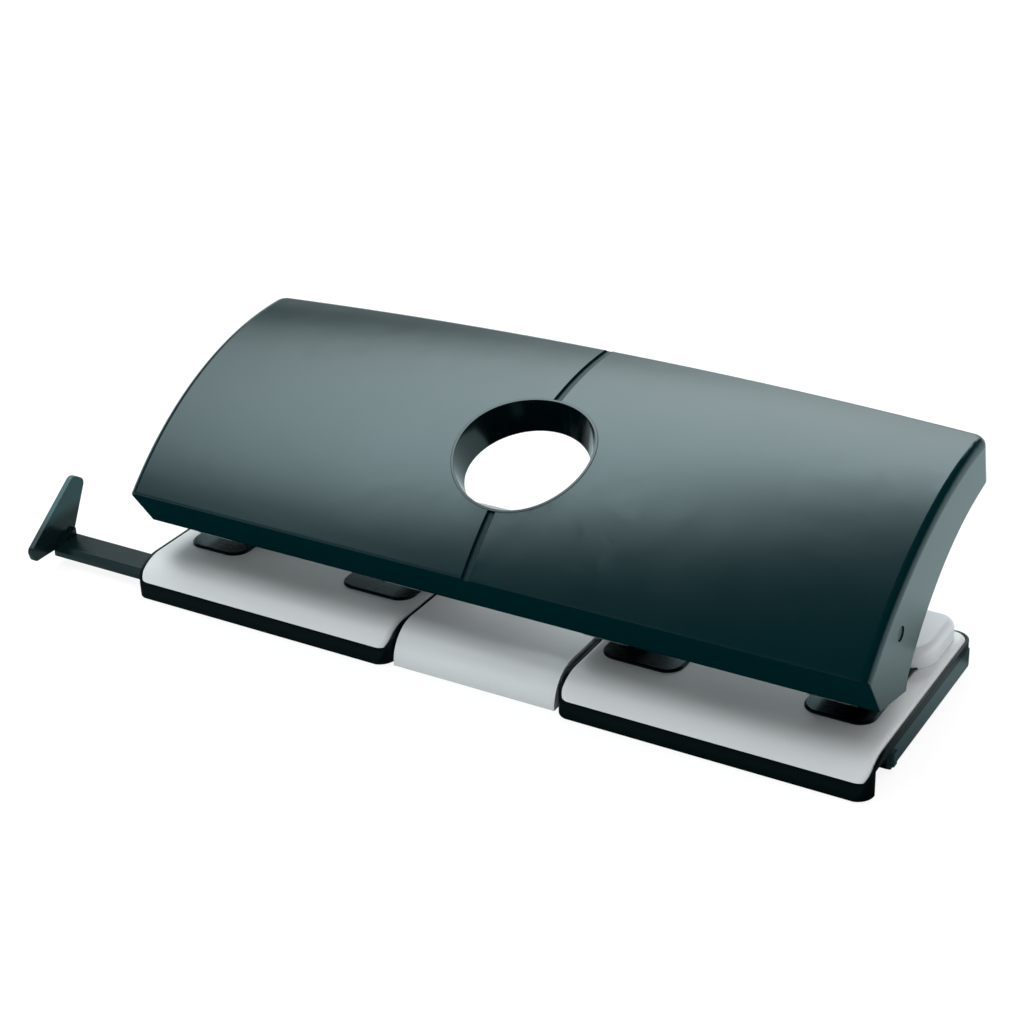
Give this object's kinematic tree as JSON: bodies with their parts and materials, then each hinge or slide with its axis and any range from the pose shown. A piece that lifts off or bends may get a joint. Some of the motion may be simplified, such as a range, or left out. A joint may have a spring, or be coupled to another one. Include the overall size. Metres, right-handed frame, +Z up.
{
  "type": "hole punch",
  "caption": "Desk paper punch with a wide curved lever that has a round eye in it, over a flat base with a sliding edge guide and drawers for the chips.",
  "frame": {"origin": "on the desk, in the middle of the base's footprint, at the underside of the middle foot pad", "axes": "+X along the row of holes, away from the edge guide; +Y from the paper side to the back; +Z up"},
  "size_m": [0.3304, 0.1129, 0.0848],
  "materials": {
    "base_black": "fine satin moulding",
    "table_grey": "smooth satin",
    "ramp_silver": "satin with a fine grain",
    "housing_pale": "smooth satin",
    "lever_black": "gloss",
    "eye_black": "high gloss",
    "plate_steel": "brushed along the holes",
    "frame_steel": "zinc-plated sheet",
    "tool_steel": "ground and bright",
    "spring_steel": "drawn wire",
    "bush_brass": "turned",
    "screw_steel": "zinc-plated",
    "guide_grey": "satin",
    "drawer_grey": "satin",
    "foot_rubber": "matt"
  },
  "bodies": {
    "base": {"base_frame": "base_black", "centre_ramp": "ramp_silver", "table_left": "table_grey", "table_right": "table_grey", "rear_housing": "housing_pale", "die_plate_left": "plate_steel", "die_plate_right": "plate_steel", "pivot_axle": "tool_steel", "axle_clips": "spring_steel", "frame_screws": "screw_steel", "rubber_feet": "foot_rubber", "punch_frame_1": "frame_steel", "punch_frame_2": "frame_steel", "punch_frame_3": "frame_steel", "punch_frame_4": "frame_steel", "guide_bush_1": "bush_brass", "guide_bush_2": "bush_brass", "guide_bush_3": "bush_brass", "guide_bush_4": "bush_brass", "return_spring_1": "spring_steel", "return_spring_2": "spring_steel", "return_spring_3": "spring_steel", "return_spring_4": "spring_steel"},
    "lever": {"lever_shell": "lever_black", "eye_ring": "eye_black", "press_bar_left": "frame_steel", "press_bar_right": "frame_steel", "press_bar_screws": "screw_steel"},
    "punch_1": {"punch_pin_1": "tool_steel", "spring_cap_1": "frame_steel"},
    "punch_2": {"punch_pin_2": "tool_steel", "spring_cap_2": "frame_steel"},
    "punch_3": {"punch_pin_3": "tool_steel", "spring_cap_3": "frame_steel"},
    "punch_4": {"punch_pin_4": "tool_steel", "spring_cap_4": "frame_steel"},
    "edge_guide": {"guide_rail": "guide_grey"},
    "drawer_left": {"chip_drawer_left": "drawer_grey"},
    "drawer_right": {"chip_drawer_right": "drawer_grey"}
  },
  "joints": [
    {"name": "lever_hinge", "type": "hinge", "parent": "base", "child": "lever", "pos_m": [0, -0.0173, 0.0465], "axis": [-1, 0, 0], "range_deg": [0, 21], "stiffness_Nm_per_rad": 1.6, "springref_deg": -21.2},
    {"name": "punch_slide_1", "type": "slide", "parent": "base", "child": "punch_1", "axis": [0, 0, -1], "range_m": [0, 0.00665], "deforming": ["return_spring_1"]},
    {"name": "punch_slide_2", "type": "slide", "parent": "base", "child": "punch_2", "axis": [0, 0, -1], "range_m": [0, 0.00665], "deforming": ["return_spring_2"]},
    {"name": "punch_slide_3", "type": "slide", "parent": "base", "child": "punch_3", "axis": [0, 0, -1], "range_m": [0, 0.00665], "deforming": ["return_spring_3"]},
    {"name": "punch_slide_4", "type": "slide", "parent": "base", "child": "punch_4", "axis": [0, 0, -1], "range_m": [0, 0.00665], "deforming": ["return_spring_4"]},
    {"name": "edge_guide_slide", "type": "slide", "parent": "base", "child": "edge_guide", "axis": [-1, 0, 0], "range_m": [-0.041, 0.0435]},
    {"name": "drawer_left_slide", "type": "slide", "parent": "base", "child": "drawer_left", "axis": [-1, 0, 0], "range_m": [0, 0.1]},
    {"name": "drawer_right_slide", "type": "slide", "parent": "base", "child": "drawer_right", "axis": [1, 0, 0], "range_m": [0, 0.1]}
  ],
  "couplings": [
    {"joint": "punch_slide_1", "follows": "lever_hinge", "m_per_rad": 0.018},
    {"joint": "punch_slide_2", "follows": "lever_hinge", "m_per_rad": 0.018},
    {"joint": "punch_slide_3", "follows": "lever_hinge", "m_per_rad": 0.018},
    {"joint": "punch_slide_4", "follows": "lever_hinge", "m_per_rad": 0.018}
  ]
}
